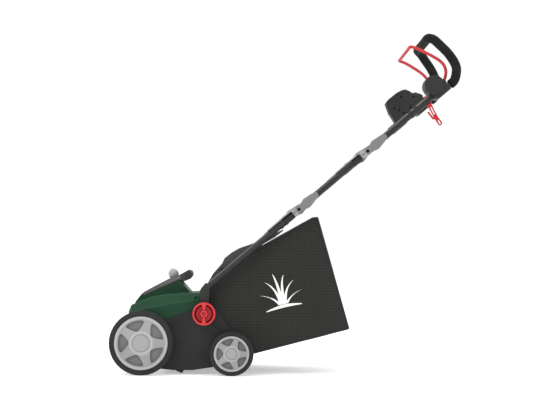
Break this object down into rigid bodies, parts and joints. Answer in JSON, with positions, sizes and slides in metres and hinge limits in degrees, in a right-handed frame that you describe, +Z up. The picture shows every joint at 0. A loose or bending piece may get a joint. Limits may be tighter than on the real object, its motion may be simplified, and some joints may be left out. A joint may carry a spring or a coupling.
{
  "type": "lawn dethatcher",
  "caption": "Electric lawn dethatcher: wheeled housing with a powered blade rotor, depth lever, fabric collecting bag, rear flap, folding tubular handle with foam grip and bail switch.",
  "frame": {"origin": "centre of the whole machine's box, on the floor", "axes": "+X rearwards towards the handle, +Y to the machine's right, +Z up"},
  "size_m": [1.1055, 0.511, 1.1096],
  "materials": {
    "graphite_plastic": "fine grained black moulding",
    "green_plastic": "satin dark green moulding",
    "grey_plastic": "satin mid grey moulding",
    "motor_case": "cast motor case",
    "steel": "plain steel",
    "pulley_alloy": "turned alloy",
    "rubber": "ribbed drive belt",
    "silver_plastic": "light grey wheel moulding",
    "red_plastic": "satin red moulding",
    "coated_tube": "dark powder coat on steel tube",
    "foam": "closed cell foam sleeve",
    "red_metal": "red coated wire",
    "bag_fabric": "woven black fabric",
    "tyre": "soft plastic tread",
    "saddle_plastic": "light grey moulding",
    "hinge_plastic": "mid grey moulding"
  },
  "bodies": {
    "chassis": {"deck_housing": "graphite_plastic", "motor_cover": "green_plastic", "top_trim": "grey_plastic", "belt_cover": "graphite_plastic", "motor_body": "motor_case", "drive_belt": "rubber", "bearing_left": "pulley_alloy", "bearing_right": "pulley_alloy", "rear_axle": "steel", "pivot_bolt_left": "steel", "pivot_bolt_right": "steel"},
    "front_crank": {"front_crank": "steel"},
    "depth_lever": {"depth_lever": "steel", "lever_knob": "silver_plastic"},
    "rotor": {"rotor_shaft": "steel", "rotor_blades": "steel", "rotor_pulley": "pulley_alloy"},
    "motor_rotor": {"motor_pulley": "steel"},
    "rear_flap": {"rear_flap": "graphite_plastic"},
    "bag": {"bag_shell": "bag_fabric", "bag_frame": "graphite_plastic"},
    "lower_handle": {"lower_tube_left": "coated_tube", "lower_tube_right": "coated_tube", "saddle_low_left": "saddle_plastic", "saddle_low_right": "saddle_plastic"},
    "mid_handle": {"mid_tube_left": "coated_tube", "mid_tube_right": "coated_tube", "saddle_high_left": "saddle_plastic", "saddle_high_right": "saddle_plastic"},
    "upper_handle": {"upper_tube_left": "coated_tube", "upper_tube_right": "coated_tube", "hub_left": "graphite_plastic", "hub_right": "graphite_plastic", "grip_tube": "coated_tube", "grip_foam": "foam", "switch_box": "graphite_plastic", "switch_cover": "graphite_plastic", "cable_hook": "red_plastic"},
    "bail": {"bail": "red_metal"},
    "lock_button": {"lock_button": "silver_plastic"},
    "knob_left": {"knob_left": "red_plastic"},
    "knob_right": {"knob_right": "red_plastic"},
    "front_wheel_left": {"front_wheel_left_rim": "silver_plastic", "front_wheel_left_tyre": "tyre", "front_wheel_left_cap": "silver_plastic"},
    "front_wheel_right": {"front_wheel_right_rim": "silver_plastic", "front_wheel_right_tyre": "tyre", "front_wheel_right_cap": "silver_plastic"},
    "rear_wheel_left": {"rear_wheel_left_rim": "silver_plastic", "rear_wheel_left_tyre": "tyre", "rear_wheel_left_cap": "silver_plastic"},
    "rear_wheel_right": {"rear_wheel_right_rim": "silver_plastic", "rear_wheel_right_tyre": "tyre", "rear_wheel_right_cap": "silver_plastic"},
    "cam_low_left": {"cam_low_left": "hinge_plastic"},
    "cam_low_right": {"cam_low_right": "hinge_plastic"},
    "cam_high_left": {"cam_high_left": "hinge_plastic"},
    "cam_high_right": {"cam_high_right": "hinge_plastic"}
  },
  "joints": [
    {"name": "depth_crank", "type": "hinge", "parent": "chassis", "child": "front_crank", "pos_m": [-0.417, 0, 0.095], "axis": [0, -1, 0], "range_deg": [-5, 12]},
    {"name": "depth_lever", "type": "hinge", "parent": "chassis", "child": "depth_lever", "pos_m": [-0.355, 0, 0.236], "axis": [0, -1, 0], "range_deg": [-5, 12]},
    {"name": "front_wheel_left_spin", "type": "hinge", "parent": "front_crank", "child": "front_wheel_left", "pos_m": [-0.4535, 0, 0.1], "axis": [0, 1, 0], "continuous": true},
    {"name": "front_wheel_right_spin", "type": "hinge", "parent": "front_crank", "child": "front_wheel_right", "pos_m": [-0.4535, 0, 0.1], "axis": [0, 1, 0], "continuous": true},
    {"name": "rear_wheel_left_spin", "type": "hinge", "parent": "chassis", "child": "rear_wheel_left", "pos_m": [-0.172, 0, 0.069], "axis": [0, 1, 0], "continuous": true},
    {"name": "rear_wheel_right_spin", "type": "hinge", "parent": "chassis", "child": "rear_wheel_right", "pos_m": [-0.172, 0, 0.069], "axis": [0, 1, 0], "continuous": true},
    {"name": "rotor_spin", "type": "hinge", "parent": "chassis", "child": "rotor", "pos_m": [-0.3325, 0, 0.057], "axis": [0, -1, 0], "continuous": true},
    {"name": "motor_spin", "type": "hinge", "parent": "chassis", "child": "motor_rotor", "pos_m": [-0.428, 0, 0.166], "axis": [0, -1, 0], "continuous": true},
    {"name": "flap_hinge", "type": "hinge", "parent": "chassis", "child": "rear_flap", "pos_m": [-0.2555, 0, 0.2725], "axis": [0, -1, 0], "range_deg": [0, 60]},
    {"name": "bag_pull", "type": "slide", "parent": "chassis", "child": "bag", "axis": [1, 0, 0], "range_m": [0, 0.15]},
    {"name": "lower_fold", "type": "hinge", "parent": "chassis", "child": "lower_handle", "pos_m": [-0.2595, 0, 0.1925], "axis": [0, -1, 0], "range_deg": [0, 85]},
    {"name": "middle_fold", "type": "hinge", "parent": "lower_handle", "child": "mid_handle", "pos_m": [0.034, 0, 0.5226], "axis": [0, -1, 0], "range_deg": [0, 140]},
    {"name": "upper_fold", "type": "hinge", "parent": "mid_handle", "child": "upper_handle", "pos_m": [0.2496, 0, 0.7096], "axis": [0, 1, 0], "range_deg": [0, 120]},
    {"name": "bail_pull", "type": "hinge", "parent": "upper_handle", "child": "bail", "pos_m": [0.4965, 0, 0.9375], "axis": [0, 1, 0], "range_deg": [0, 14], "stiffness_Nm_per_rad": 1.2, "springref_deg": -8.59},
    {"name": "button_press", "type": "slide", "parent": "upper_handle", "child": "lock_button", "axis": [0, 0, -1], "range_m": [0, 0.004], "stiffness_N_per_m": 150, "springref_m": -0.001},
    {"name": "knob_left_turn", "type": "hinge", "parent": "chassis", "child": "knob_left", "pos_m": [-0.2595, 0, 0.1925], "axis": [0, -1, 0], "continuous": true},
    {"name": "knob_right_turn", "type": "hinge", "parent": "chassis", "child": "knob_right", "pos_m": [-0.2595, 0, 0.1925], "axis": [0, 1, 0], "continuous": true},
    {"name": "cam_low_left_flip", "type": "hinge", "parent": "mid_handle", "child": "cam_low_left", "pos_m": [0.034, -0.2335, 0.5226], "axis": [0.6553, 0, -0.7554], "range_deg": [0, 90]},
    {"name": "cam_low_right_flip", "type": "hinge", "parent": "mid_handle", "child": "cam_low_right", "pos_m": [0.034, 0.2335, 0.5226], "axis": [-0.6553, 0, 0.7554], "range_deg": [0, 90]},
    {"name": "cam_high_left_flip", "type": "hinge", "parent": "mid_handle", "child": "cam_high_left", "pos_m": [0.2496, -0.2335, 0.7096], "axis": [0.6553, 0, -0.7554], "range_deg": [0, 90]},
    {"name": "cam_high_right_flip", "type": "hinge", "parent": "mid_handle", "child": "cam_high_right", "pos_m": [0.2496, 0.2335, 0.7096], "axis": [-0.6553, 0, 0.7554], "range_deg": [0, 90]}
  ],
  "couplings": [
    {"joint": "depth_lever", "follows": "depth_crank", "ratio": 1},
    {"joint": "motor_spin", "follows": "rotor_spin", "ratio": 1.5}
  ]
}
